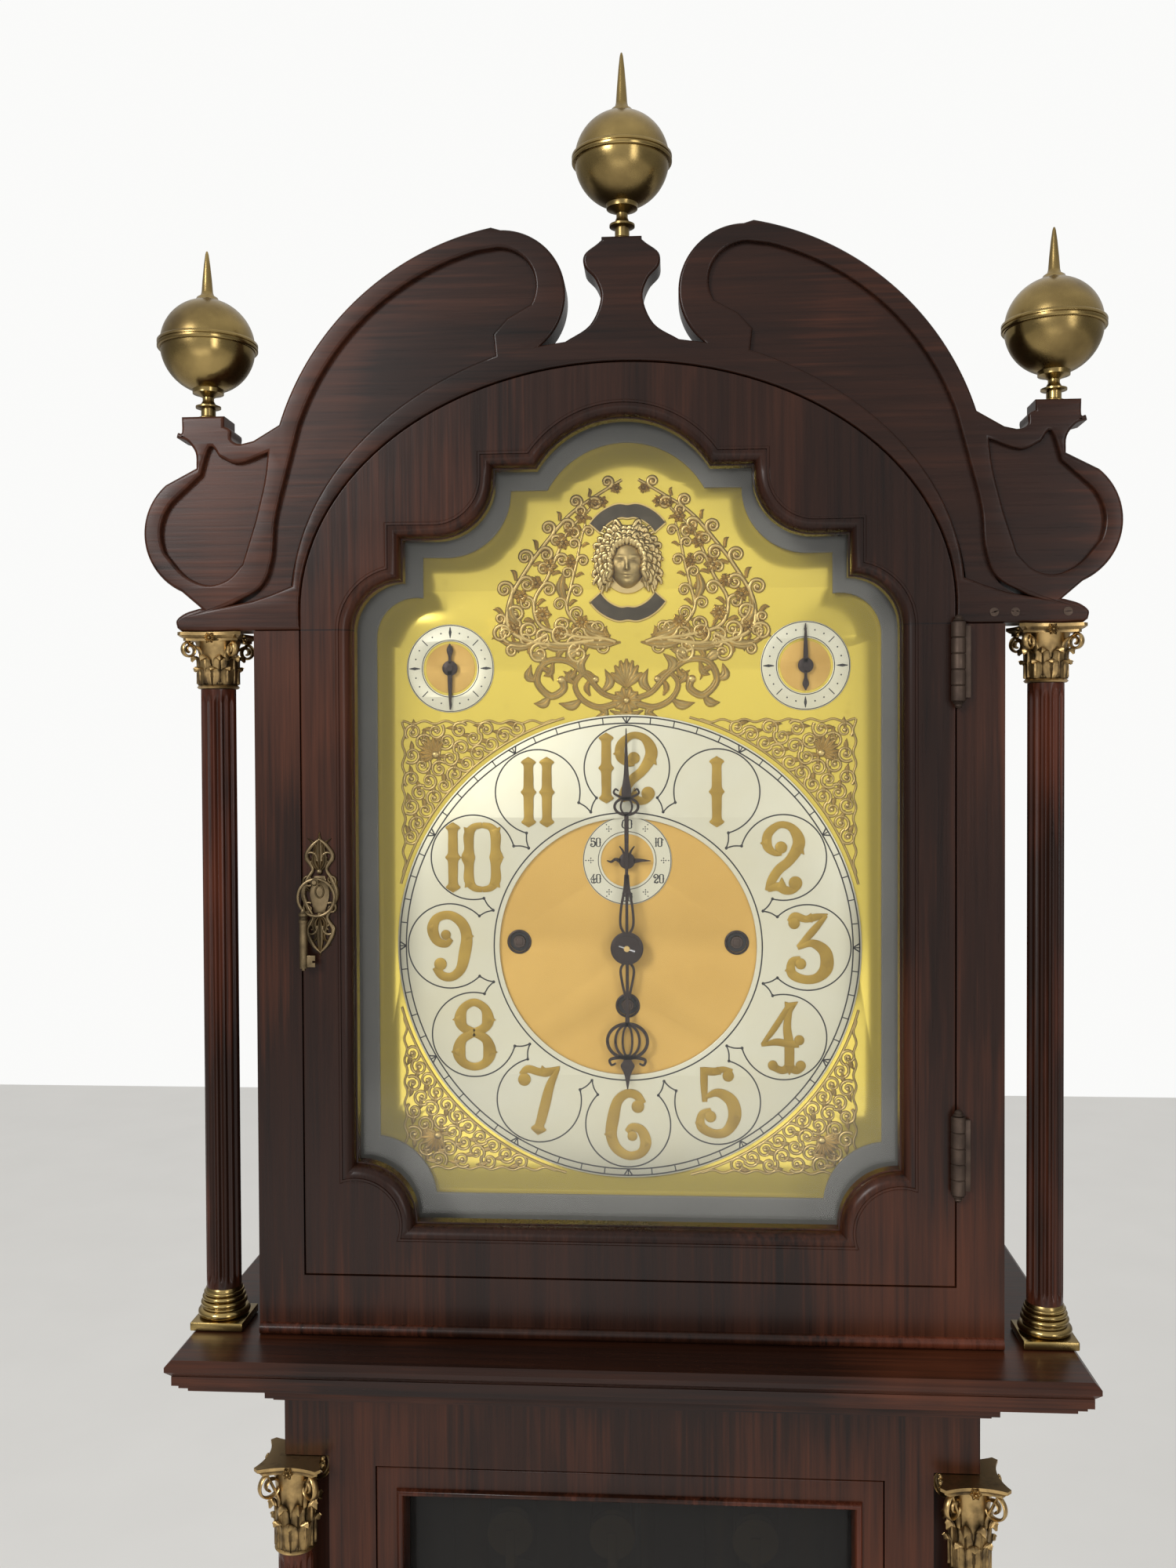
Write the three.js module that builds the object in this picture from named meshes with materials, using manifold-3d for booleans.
// Longcase clock, in millimetres. X is to the right, Y to the back and Z up.
// The origin is the middle of the footprint.
import * as THREE from "three";
import { mergeVertices } from "three/addons/utils/BufferGeometryUtils.js";
import Module from "manifold-3d";

const wasm = await Module();
wasm.setup();

// Clearances and sizes that many pieces share
const FIT = 0.3;
const RUNNING = 0.5;
const SLIDE = 0.8;
const WELD = 0.2;
const OVERRUN = 5;
const BOARD = 10;

// Overall places
const OVERALL_DEPTH = 310;
const BACK = OVERALL_DEPTH / 2;
const PLATE_TOP = 1580;
const TRUNK_HALF = 200.7;

// Base and waist; each part is wider than the one above it by its reach
const WAIST_REACH = 49.3;
const PLINTH_REACH = 22;
const BASE_HALF = TRUNK_HALF + WAIST_REACH;
const PLINTH_HALF = BASE_HALF + PLINTH_REACH;
const PLINTH_HEIGHT = 110;
const PLINTH_CHAMFER = 10;
const BASE_HEIGHT = 360;
const BASE_TOP = PLINTH_HEIGHT + BASE_HEIGHT;
const BASE_BOARD = 18;
const BACKBOARD_BOTTOM = 20;
const WAIST_HEIGHT = 50;
const WAIST_TOP = BASE_TOP + WAIST_HEIGHT;

// Trunk
const TRUNK_FRONT = PLINTH_HALF - TRUNK_HALF - BACK;
const BASE_FRONT = TRUNK_FRONT + TRUNK_HALF - BASE_HALF;
const TRUNK_SIDE = 26;
const TRUNK_LAP = 70;
const TRUNK_BOTTOM = BASE_TOP - TRUNK_LAP;
const FOOT_BLOCK = 80;
const FOOT_BLOCK_TOP = WAIST_TOP + FOOT_BLOCK;
const FRIEZE = 76;
const FRIEZE_BOTTOM = PLATE_TOP - FRIEZE;
const TRUNK_STILE = 28.2;
const TRUNK_DOOR_HALF = TRUNK_HALF - TRUNK_SIDE - TRUNK_STILE;
const TRUNK_FOOT_RAIL = 40;
const TRUNK_DOOR_BOTTOM = FOOT_BLOCK_TOP + TRUNK_FOOT_RAIL;
const TRUNK_HEAD_RAIL = 6;
const TRUNK_DOOR_TOP = FRIEZE_BOTTOM - TRUNK_HEAD_RAIL;
const TRUNK_DOOR_THICKNESS = 18;
const TRUNK_DOOR_RAIL = 16.2;
const TRUNK_GLASS_HALF = TRUNK_DOOR_HALF - TRUNK_DOOR_RAIL;
const TRUNK_BEAD = 4.3;
const TRUNK_BEAD_RISE = 3;
const DOOR_GAP = 0.6;
const GLASS = 2.5;
const GLASS_LAP = 5;

// Trunk columns
const TRUNK_ABACUS_HALF = 19.5;
const TRUNK_PLINTH_HALF = 17.5;
const TRUNK_SHAFT_RADIUS = 10;
const TRUNK_COLUMN_BASE = 34;
const TRUNK_CAPITAL = 54;
const TRUNK_COLUMN_SET_BACK = 1;
const TRUNK_COLUMN_X = TRUNK_HALF - TRUNK_SIDE + TRUNK_ABACUS_HALF + SLIDE;
const TRUNK_COLUMN_Y = TRUNK_FRONT + TRUNK_COLUMN_SET_BACK;

// Throat moulding, and the plate that the hood stands on
const MOULDING_DROP = 41.5;
const MOULDING_BOTTOM = PLATE_TOP - MOULDING_DROP;
const HOOD_PLATE = 9;
const HOOD_PLATE_REACH = 52.3;
const HOOD_PLATE_HALF = TRUNK_HALF + HOOD_PLATE_REACH;
const PLATE_NOSE = 3;
const HOOD_PLATE_INNER = TRUNK_HALF + SLIDE;
const HOOD_PLATE_FRONT = TRUNK_FRONT + TRUNK_HALF - HOOD_PLATE_HALF;
const TRUNK_TOP = PLATE_TOP - HOOD_PLATE;

// Hood; from here on, heights are above the plate
const HOOD_HALF = HOOD_PLATE_INNER + BOARD;
const HOOD_SET_BACK = 41;
const HOOD_FRONT = HOOD_PLATE_FRONT + HOOD_SET_BACK;
const STILE_DEPTH = 20;
const PEDIMENT_DEPTH = 22;
const HOOD_STILE = 26.9;
const DOOR_HALF = HOOD_HALF - HOOD_STILE;
const DOOR_BOTTOM = 35.1;
const DOOR_SPRING = 416;
const DOOR_RISE = 137.9;
const DOOR_TOP = DOOR_SPRING + DOOR_RISE;
const JOINT_DROP = 10.5;
const JOINT_HEIGHT = DOOR_SPRING - JOINT_DROP;
const CROWN_BOARD = 10.1;
const HOOD_CROWN = DOOR_TOP + CROWN_BOARD;
const HOOD_CROWN_HALF = 150;
const CROWN_SLOPE = 66;
const HOOD_SHOULDER = HOOD_CROWN - CROWN_SLOPE;
const DOOR_THICKNESS = 15;

// Hood door hinges and key
const HINGE_RADIUS = 4;
const HINGE_TIP_RADIUS = 2;
const HINGE_TIP = 4;
const HINGE_BARREL = 44;
const HINGE_LOWER = 110;
const HINGE_DROP = 21.5;
const HINGE_UPPER = JOINT_HEIGHT - HINGE_DROP;
const HINGE_LEAF = 7;
const HINGE_LEAF_INSET = 2;
const KEY_X = 175;
const KEY_RISE = 262;
const KEY_SHANK = 10;
const KEY_SHANK_RADIUS = 1.5;
const KEY_RING_RADIUS = 10.5;
const KEY_WIRE = 0.9;
const KEY_RING_OUT = 6;
const KEY_BARREL = 34;
const KEY_BARREL_RADIUS = 2.3;

// The shaped opening of the door
const DOOR_STILE = 29.6;
const SIGHT_HALF = DOOR_HALF - DOOR_STILE;
const SIGHT_BOTTOM = 64;
const LOBE = 34.5;
const DOOR_HEAD_RAIL = 30;
const ARCH_TOP = DOOR_TOP - DOOR_HEAD_RAIL;
const SHELF_DROP = 66.9;
const SHELF_HEIGHT = ARCH_TOP - SHELF_DROP;
const SHOULDER_DROP = 52.4;
const SHOULDER_HEIGHT = SHELF_HEIGHT - SHOULDER_DROP;
const SHOULDER_RADIUS = 28.5;
const UPPER_LOBE_X = 107.6;
const UPPER_LOBE_RISE = 34.3;
const ARCH_SHELF_RISE = 4.9;
const ARCH_RADIUS = 57.6;
const OVOLO_WIDTH = 9;
const OVOLO_DEPTH = 8;

// Hood columns
const COLUMN_PLINTH_HALF = 15.5;
const COLUMN_X = HOOD_PLATE_HALF - COLUMN_PLINTH_HALF;
const COLUMN_Y = HOOD_FRONT + COLUMN_PLINTH_HALF;
const COLUMN_PLINTH_HEIGHT = 5;
const COLUMN_BASE_TOP = 22;
const SHAFT_RADIUS = 10;
const CAPITAL_HEIGHT = 32.5;
const CAPITAL_BOTTOM = JOINT_HEIGHT - CAPITAL_HEIGHT;
const ABACUS_HALF = 18.5;
const ABACUS_HEIGHT = 6;
const SCROLL_CURL = 5.5;
const SCROLL_CURL_LENGTH = 7.7;
const SCROLL_CURL_INSET = 1;
const FLUTES = 12;
const FLUTE_DEPTH = 1.2;

// Pediment
const EAR_OVERHANG = 22.5;
const EAR_HALF = HOOD_PLATE_HALF + EAR_OVERHANG;
const EAR_HEIGHT = 56.2;
const EAR_WIDEST = JOINT_HEIGHT + EAR_HEIGHT;
const EAR_LOBE = 36.5;
const EAR_FOOT_DEGREES = -66;
const EAR_HEAD_DEGREES = 50;
const EAR_BLOCK_INSET = 18.5;
const EAR_BLOCK_HALF = EAR_HALF - EAR_BLOCK_INSET;
const EAR_BLOCK = 13;
const EAR_BLOCK_TOP = JOINT_HEIGHT + EAR_BLOCK;
const EAR_NOTCH_INSET = 33;
const EAR_NOTCH_X = EAR_HALF - EAR_NOTCH_INSET;
const EAR_PLINTH_INSET = 35.1;
const EAR_PLINTH_X = EAR_HALF - EAR_PLINTH_INSET;
const EAR_PLINTH_HALF = 12.4;
const EAR_NECK_HEIGHT = 43.1;
const EAR_NECK = EAR_WIDEST + EAR_NECK_HEIGHT;
const EAR_PLINTH_HEIGHT = 23.6;
const EAR_TOP = EAR_NECK + EAR_PLINTH_HEIGHT;
const VALLEY_INSET = 57.6;
const VALLEY_X = EAR_HALF - VALLEY_INSET;
const VALLEY_HEIGHT = 7.6;
const VALLEY = EAR_NECK + VALLEY_HEIGHT;
const NECK_START_X = 196.3;
const NECK_START_HEIGHT = 10.4;
const NECK_START = VALLEY + NECK_START_HEIGHT;
const SWAN_X = 43.4;
const SWAN_RADIUS = 160.4;
const SCROLL_X = 68.2;
const SCROLL_RADIUS = 36.5;
const SCROLL_FOOT_X = 46;
const CROWN_WOOD = 10.4;
const SCROLL_FOOT = DOOR_TOP + CROWN_WOOD;
const SWAN_DROP = 90.7;
const SWAN_Z = SCROLL_FOOT - SWAN_DROP;
const SCROLL_RISE = 28.7;
const SCROLL_Z = SCROLL_FOOT + SCROLL_RISE;
const PEDESTAL_HALF = 20.9;
const PEDESTAL_HEIGHT = 59.8;
const PEDESTAL_TOP = SCROLL_FOOT + PEDESTAL_HEIGHT;
const POCKET_DEPTH = 4;
const RIM = 11;
const DOOR_BAND = 15.5;
const FIELD_TAIL = 9;
const FIELD_TAIL_DEGREES = 12;
const FIELD_TAIL_END_DEGREES = 25;
const FIELD_HEAD_DEGREES = 69;
const FIELD_SWAN_DEGREES = [75, 18];
const FIELD_EYE_DEGREES = [210, 90];
const FIELD_EYE_X = 70.2;
const FIELD_EYE_LIFT = 5;
const FIELD_EYE_Z = SCROLL_Z + FIELD_EYE_LIFT;
const FIELD_EYE_RADIUS = 21.5;

// Finials
const FINIAL_BALL = 26.8;
const FINIAL_BAND = 1.6;
const FINIAL_BAND_HALF = 2;
const FINIAL_COLLAR = 9;
const CENTRE_STEM = 46.3;
const CENTRE_BALL = PEDESTAL_TOP + CENTRE_STEM;
const CENTRE_SPIKE = 60.6;
const CENTRE_TIP = CENTRE_BALL + CENTRE_SPIKE;
const SIDE_STEM = 42.6;
const SIDE_BALL = EAR_TOP + SIDE_STEM;
const SIDE_SPIKE = 55;
const SIDE_TIP = SIDE_BALL + SIDE_SPIKE;

// Dial; heights are above the dial's centre, and depths run back from the hood's front
const DIAL_RISE = 218.2;
const DIAL_Z = PLATE_TOP + DIAL_RISE;
const DIAL_SET_BACK = 52;
const DIAL_FRONT = HOOD_FRONT + DIAL_SET_BACK;
const DIAL_THICKNESS = 2;
const MASK_THICKNESS = 3;
const MASK_GAP = 2;
const MASK_REVEAL = 4.3;
const RING_OUTER = 139.5;
const RING_INNER = 77.3;
const RING_THICKNESS = 1.8;
const SECONDS_RISE = 51.8;
const SUBDIAL_X = 106.5;
const SUBDIAL_RISE = 168;
const WINDING_X = 65.5;
const WINDING_RISE = 2.5;
const GOING_DROP = 35.8;
const WINDING_HOLE = 6;
const CENTRE_HOLE = 7;
const PLATE_FOOT_RADIUS = 3;
const PLATE_FOOT_X = 92;
const PLATE_FOOT_RISE = 70;

// Hands; each plane lies this far in front of the dial
const HAND_THICKNESS = 1;
const SECONDS_PLANE = 4.4;
const HOUR_PLANE = 7.5;
const MINUTE_PLANE = 10.5;
const POINTER_PLANE = 3.2;
const MINUTE_HAND = 130;
const MINUTE_HALF = 7.7;
const MINUTE_EYE = 3.4;
const MINUTE_EYE_SHARE = 0.65;
const HOUR_HAND = 84;
const HOUR_HALF = 12.8;
const HOUR_EYE = 6;
const HOUR_EYE_SHARE = 0.67;
const HAND_HUB = 9.8;
const HOUR_PIPE = 5.5;
const SECONDS_HAND = 14.5;
const SECONDS_HALF = 9;
const SECONDS_HUB = 5.2;
const POINTER = 25;
const POINTER_HALF = 2.8;
const POINTER_HUB = 4.7;
const ARBOR_END = 2;

// Movement
const DIAL_TO_PLATE = 10;
const FRONT_PLATE = DIAL_FRONT + DIAL_TO_PLATE;
const PLATE = 3;
const PLATE_SPACING = 67;
const BACK_PLATE = FRONT_PLATE + PLATE_SPACING;
const PLATE_HALF = 112;
const PLATE_RISE = 96;
const SEAT_DROP = 88.5;
const SEATBOARD = 18;
const SEATBOARD_LEAD = 3;
const SEATBOARD_FRONT = FRONT_PLATE - SEATBOARD_LEAD;
const SEATBOARD_DEPTH = 86;
const SEATBOARD_INSET = 1;
const CHEEK_LEAD = 4;
const SLOT_HALF = 6;
const SLOT_REACH = 20;
const PILLAR_RADIUS = 4;
const PILLAR_INSET = 9;
const ARBOR = 1.8;
const WINDING_ARBOR = 3.5;
const DRUM_RADIUS = 25;
const DRUM_SET_BACK = 17;
const DRUM_LENGTH = 36;
const FLANGE_RADIUS = 29;
const FLANGE = 2;
const PALLET_RISE = 80;
const PALLET_REACH = 14;
const PALLET_OVERHANG = 1;
const CRUTCH = 110;
const CRUTCH_HALF = 2;
const CRUTCH_LEAD = 14;
const CRUTCH_THICKNESS = 3;
const FORK_HALF = 8;
const FORK_HEIGHT = 5;
const FORK_REACH = 6;
const PENDULUM_SET_BACK = 22;
const PENDULUM_Y = BACK_PLATE + PLATE + PENDULUM_SET_BACK;
const PENDULUM_LENGTH = 994;
const COCK_HALF = 12;
const COCK_RISE = 8;
const COCK_THICKNESS = 6;
const COCK_OVERHANG = 8;
const SPRING_HALF = 5;
const SPRING_THICKNESS = 0.8;
const SPRING_DROP = 26;
const ROD_RADIUS = 4;
const ROD_BELOW_BOB = 40;
const BOB_RADIUS = 75;
const BOB_THICKNESS = 28;
const NUT_RADIUS = 9;
const NUT_HEIGHT = 14;
const NUT_LAP = 4;

// Gearing of the going train; each wheel's plane lies this far behind the front plate
const GREAT_TEETH = 96;
const CENTRE_LEAVES = 8;
const CENTRE_TEETH = 60;
const THIRD_LEAVES = 8;
const THIRD_TEETH = 56;
const ESCAPE_LEAVES = 7;
const ESCAPE_TEETH = 30;
const THIRD_X = 15.75;
const THIRD_RISE = 30.13;
const GREAT_MODULE = (2 * GOING_DROP) / (GREAT_TEETH + CENTRE_LEAVES);
const CENTRE_MODULE = (2 * Math.hypot(THIRD_X, THIRD_RISE)) / (CENTRE_TEETH + THIRD_LEAVES);
const THIRD_MODULE = (2 * Math.hypot(THIRD_X, SECONDS_RISE - THIRD_RISE)) / (THIRD_TEETH + ESCAPE_LEAVES);
const ADDENDUM_SHARE = 0.75;
const DEDENDUM_SHARE = 1.3;
const ESCAPE_RADIUS = 19;
const ESCAPE_DEPTH = 3;
const ESCAPE_LEAN_SHARE = 0.3;
const GREAT_PLANE = 54;
const CENTRE_PLANE = 9;
const THIRD_PLANE = 21;
const ESCAPE_PLANE = 33;
const GREAT_THICKNESS = 4;
const WHEEL_THICKNESS = 3;
const ESCAPE_THICKNESS = 2;
const PINION_LAP = 2;

// Lines, weights and chime tubes
const LINE_RADIUS = 0.8;
const LINE_OFFSET = DRUM_RADIUS + LINE_RADIUS + FIT;
const LINE_SET_BACK = 35;
const LINE_Y = FRONT_PLATE + LINE_SET_BACK;
const PULLEY_RADIUS = 12;
const PULLEY_THICKNESS = 6;
const PULLEY_BEND = PULLEY_RADIUS + RUNNING + LINE_RADIUS;
const PULLEY_RISE = 34;
const STIRRUP = 7;
const HOOK_RADIUS = 3;
const HOOK_COLLAR = 7;
const WEIGHT_RADIUS = 27;
const WEIGHT_LENGTH = 190;
const WEIGHT_CHAMFER = 4;
const WEIGHT_CAP = 8;
const WEIGHT_DROP = 200;
const WEIGHT_TOP = PLATE_TOP - WEIGHT_DROP;
const TUBE_COUNT = 5;
const TUBE_PITCH = 60;
const TUBE_RADIUS = 12.5;
const TUBE_WALL = 1.5;
const TUBE_SET_IN = 37;
const TUBE_Y = BACK - BOARD - TUBE_SET_IN;
const TUBE_RISE = 60;
const TUBE_TOP = PLATE_TOP + TUBE_RISE;
const TUBE_LENGTH = 1080;
const TUBE_STEP = 55;
const RAIL_HEIGHT = 12;
const RAIL_HALF = 150;

// Where each train's line leaves its drum, and on which side of the line its pulley hangs
const LINES = [
  { name: "going", x: 0, rise: -GOING_DROP, fall: -LINE_OFFSET, toPulley: 1 },
  { name: "strike", x: -WINDING_X, rise: WINDING_RISE, fall: -WINDING_X - LINE_OFFSET, toPulley: 1 },
  { name: "chime", x: WINDING_X, rise: WINDING_RISE, fall: WINDING_X + LINE_OFFSET, toPulley: -1 },
];

// Outlines as shares of the sizes that they follow: [across, along] or [out, up]
const MOULDING_FOOT_SHARES = [[0.1, 0], [0.18, 0.08]];
const MOULDING_HOLLOW_SHARES = { out: 0.18, width: 0.6, low: 0.16, height: 0.5 };
const MOULDING_HEAD_SHARES = [[0.86, 0.66], [0.94, 0.76], [1, 0.84]];
const OVOLO_SHARES = [[0, 0.08], [0.06, 0.25], [0.3, 0.63], [0.65, 0.88], [1, 1]];
const FLUTE_SHARES = [[0.15, 0], [0.5, 1], [0.85, 0]];
const BELL_SHARES = [[0.24, 0], [0.35, 0.05], [0.12, 0.1], [0.3, 0.45], [0.6, 1]];
const BASE_RING_SHARES = [[0.2, 0.9, 0.38], [0.52, 0.55, 0.22], [0.76, 0.4, 0.2]];
const BASE_WAIST_SHARE = 0.35;
const EAR_PLINTH_SHARES = [
  [0.33, -0.25], [0.37, 0.13], [1.25, 0.5], [1, 0.62], [1, 1],
  [-1, 1], [-1, 0.75], [-1.32, 0.66], [-1.32, 0.45],
];
const PEDESTAL_SHARES = [
  [1.53, 0.03], [0.86, 0.18], [0.57, 0.42], [0.71, 0.6], [1, 0.72], [1, 0.84], [0.54, 0.97], [0.54, 1],
];
const FIELD_THROAT_SHARES = [[0.13, -0.6], [-0.09, -0.36]];
const EAR_FIELD_FOOT_SHARES = [[-0.57, -0.49], [-0.33, -0.73], [0, -0.81], [0.36, -0.65]];
const EAR_FIELD_SIDE_SHARE = 0.73;
const EAR_FIELD_SIDE_DEGREES = [-25, 45];
const EAR_FIELD_HEAD_SHARES = [
  [0.08, 0.91], [-0.07, 1.35], [-0.22, 1.19], [-0.52, 1.08], [-0.99, 1.24], [-0.93, 0.78], [-0.78, 0.17],
];
const FINIAL_STEM_SHARES = [[0, 0], [1, 0], [1, 0.12], [0.55, 0.25], [0.55, 0.88], [0.95, 1.04]];
const FINIAL_LOWER_DEGREES = [-64, -6];
const FINIAL_UPPER_DEGREES = [6, 70];
const FINIAL_SPIKE_SHARES = [[0.72, 0.05], [0.4, 0.18], [0.2, 0.73], [0, 1]];
const MINUTE_SHARES = [
  [0, 0], [0.3, 0.06], [0.57, 0.11], [0.4, 0.2], [0.16, 0.32], [0.16, 0.6], [0.7, 0.605],
  [1, 0.645], [0.75, 0.69], [1, 0.705], [0.6, 0.72], [0.2, 0.79], [0.08, 0.85], [0, 1],
];
const HOUR_SHARES = [
  [0, 0], [0.25, 0.1], [0.35, 0.187], [0.2, 0.29], [0.12, 0.36], [0.14, 0.54], [0.7, 0.56],
  [1, 0.67], [0.8, 0.76], [0.88, 0.79], [0.5, 0.8], [0.15, 0.9], [0, 1],
];
const SECONDS_SHARES = [
  [0, -0.85], [0.12, -0.8], [0.12, -0.1], [1, -0.1], [1, 0.1], [0.12, 0.1], [0.1, 0.9], [0, 1],
];
const POINTER_SHARES = [
  [0, -0.6], [0.45, -0.56], [0.8, -0.44], [0.32, -0.16], [0.32, 0.48], [1, 0.6], [0.3, 0.76], [0, 1],
];
const PALLET_SHARES = [
  [0.14, 0.21], [1.14, -0.21], [1.14, -0.557], [0.93, -0.45], [0.86, -0.25], [0.14, -0.11],
];
const BOB_SHARES = [[0.45, 0.9], [0.8, 0.55], [1, 0.14]];
const LINE_BEND_SHARE = 0.9;

// Finishes
const FINISH = {
  mahogany: { color: 0x3c2623, roughness: 0.35, metalness: 0 },
  darkWood: { color: 0x2c1c1a, roughness: 0.5, metalness: 0 },
  softwood: { color: 0x7a5c3c, roughness: 0.8, metalness: 0 },
  brass: { color: 0x9a8048, roughness: 0.35, metalness: 1 },
  dialBrass: { color: 0xd8b858, roughness: 0.35, metalness: 1 },
  silvered: { color: 0xcdccb4, roughness: 0.45, metalness: 0.6 },
  maskGrey: { color: 0x5f5f5a, roughness: 0.9, metalness: 0 },
  steel: { color: 0x3a2a24, roughness: 0.4, metalness: 0.9 },
  brightSteel: { color: 0xa8a8aa, roughness: 0.3, metalness: 1 },
  glass: { color: 0xdfe8e4, roughness: 0.05, metalness: 0 },
};

const group = new THREE.Group();
group.name = "longcase_clock";

// Adds one named piece with its own material.
function piece(name, geometry, finish) {
  const mesh = new THREE.Mesh(geometry, new THREE.MeshStandardMaterial(FINISH[finish]));
  mesh.name = name;
  group.add(mesh);
}

// A three.js geometry as a solid for cutting and joining.
function solid(geometry) {
  const bare = geometry.clone();
  bare.deleteAttribute("normal");
  bare.deleteAttribute("uv");
  const merged = mergeVertices(bare, 1e-4);
  return new wasm.Manifold(new wasm.Mesh({
    numProp: 3,
    vertProperties: new Float32Array(merged.attributes.position.array),
    triVerts: new Uint32Array(merged.index.array),
  }));
}

// A solid back as a three.js geometry.
function geometryOf(body) {
  const mesh = body.getMesh();
  const made = new THREE.BufferGeometry();
  made.setAttribute("position", new THREE.BufferAttribute(mesh.vertProperties, 3));
  made.setIndex(new THREE.BufferAttribute(mesh.triVerts, 1));
  made.computeVertexNormals();
  return made;
}

function join(...geometries) {
  return geometryOf(geometries.map(solid).reduce((sum, next) => sum.add(next)));
}

function cut(geometry, ...cutters) {
  return geometryOf(cutters.map(solid).reduce((left, next) => left.subtract(next), solid(geometry)));
}

function box(x0, x1, y0, y1, z0, z1) {
  const made = new THREE.BoxGeometry(x1 - x0, y1 - y0, z1 - z0);
  return made.translate((x0 + x1) / 2, (y0 + y1) / 2, (z0 + z1) / 2);
}

function shapeOf(points) {
  return new THREE.Shape(points.map(([x, z]) => new THREE.Vector2(x, z)));
}

// A front-view outline made solid from y0 back to y1.
function slab(points, y0, y1) {
  const made = new THREE.ExtrudeGeometry(shapeOf(points), { depth: y1 - y0, bevelEnabled: false });
  return made.rotateX(Math.PI / 2).translate(0, y1, 0);
}

// A plan outline made solid from z0 up to z1.
function prism(points, z0, z1) {
  const made = new THREE.ExtrudeGeometry(shapeOf(points), { depth: z1 - z0, bevelEnabled: false });
  return made.translate(0, 0, z0);
}

// A profile of [radius, height] turned about the Z axis.
function turned(profile, segments) {
  const points = profile.map(([r, z]) => new THREE.Vector2(r, z));
  return new THREE.LatheGeometry(points, segments).rotateX(Math.PI / 2);
}

// A round bar along Y from y0 to y1.
function barY(x, z, radius, y0, y1, segments = 12) {
  return new THREE.CylinderGeometry(radius, radius, y1 - y0, segments).translate(x, (y0 + y1) / 2, z);
}

function barZ(x, y, radius, z0, z1, segments = 12) {
  const made = new THREE.CylinderGeometry(radius, radius, z1 - z0, segments).rotateX(Math.PI / 2);
  return made.translate(x, y, (z0 + z1) / 2);
}

// Points of an arc in degrees, both ends kept.
function arc(cx, cz, radius, from, to, steps) {
  return Array.from({ length: steps + 1 }, (_, i) => {
    const turn = THREE.MathUtils.degToRad(from + ((to - from) * i) / steps);
    return [cx + radius * Math.cos(turn), cz + radius * Math.sin(turn)];
  });
}

// A right-hand outline from bottom to top, closed by its own mirror image.
function mirrored(right) {
  const left = right.filter(([x]) => x > 0).map(([x, z]) => [-x, z]).reverse();
  return [...right, ...left];
}

function raised(points, height) {
  return points.map(([x, z]) => [x, z + height]);
}

// Shares of a width and a height made into points about a middle line, from a foot upwards.
function placed(shares, middle, width, foot, height) {
  return shares.map(([across, up]) => [middle + width * across, foot + height * up]);
}

function degreesOf(x, z) {
  return THREE.MathUtils.radToDeg(Math.atan2(z, x));
}

// A moulding round the front and both sides, open at the back, mitred at the two front corners.
// The profile is a closed loop of [outset, height].
function mouldingRun(profile, half, front, back) {
  const stations = [
    ([out]) => [-half - out, back],
    ([out]) => [-half - out, front - out],
    ([out]) => [half + out, front - out],
    ([out]) => [half + out, back],
  ];
  const rings = stations.map((place) => profile.map((p) => [...place(p), p[1]]));
  return loft(rings, profile);
}

// A solid through rings of equal length; the flat loop is only used to triangulate the two ends.
function loft(rings, flat) {
  const count = flat.length;
  const vertices = rings.flat(2);
  const faces = [];
  for (let r = 0; r + 1 < rings.length; r += 1) {
    for (let i = 0; i < count; i += 1) {
      const a = r * count + i;
      const b = r * count + ((i + 1) % count);
      faces.push(a, b, b + count, a, b + count, a + count);
    }
  }
  const contour = flat.map(([x, z]) => new THREE.Vector2(x, z));
  const clockwise = THREE.ShapeUtils.isClockWise(contour);
  const last = (rings.length - 1) * count;
  for (const [a, b, c] of THREE.ShapeUtils.triangulateShape(contour, [])) {
    const [first, third] = clockwise ? [a, c] : [c, a];
    faces.push(first, b, third, last + third, last + b, last + first);
  }
  const made = new THREE.BufferGeometry();
  made.setAttribute("position", new THREE.Float32BufferAttribute(vertices, 3));
  made.setIndex(faces);
  return outward(made);
}

// Turns every face round if the solid came out inside out.
function outward(geometry) {
  if (solid(geometry).volume() < 0) {
    const index = geometry.index.array;
    for (let i = 0; i < index.length; i += 3) {
      [index[i], index[i + 1]] = [index[i + 1], index[i]];
    }
  }
  geometry.computeVertexNormals();
  return geometry;
}

// The shaped opening that door, mask and dial share, grown outwards by an offset; heights above the plate.
function sightOutline(grow) {
  const half = SIGHT_HALF + grow;
  const lobe = LOBE - grow;
  const lean = THREE.MathUtils.radToDeg(Math.asin(grow / lobe));
  const shoulder = SHOULDER_RADIUS + grow;
  const shoulderX = SIGHT_HALF - SHOULDER_RADIUS;
  const shoulderEnd = THREE.MathUtils.radToDeg(Math.acos(grow / shoulder));
  const lobeZ = SHELF_HEIGHT + UPPER_LOBE_RISE;
  const shelf = lobeZ + ARCH_SHELF_RISE + grow;
  const archZ = ARCH_TOP - ARCH_RADIUS;
  const arch = ARCH_RADIUS + grow;
  const archStart = THREE.MathUtils.radToDeg(Math.asin((shelf - archZ) / arch));
  return mirrored([
    ...arc(SIGHT_HALF, SIGHT_BOTTOM, lobe, 180 + lean, 90 - lean, 6),
    ...arc(shoulderX, SHOULDER_HEIGHT, shoulder, 0, shoulderEnd, 5),
    [shoulderX + grow, SHELF_HEIGHT + grow],
    ...arc(UPPER_LOBE_X, lobeZ, lobe, 270, 180, 6),
    [UPPER_LOBE_X - lobe, shelf],
    ...arc(0, archZ, arch, archStart, 90, 6),
  ]).map(([x, z]) => [x, z + PLATE_TOP]);
}

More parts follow.
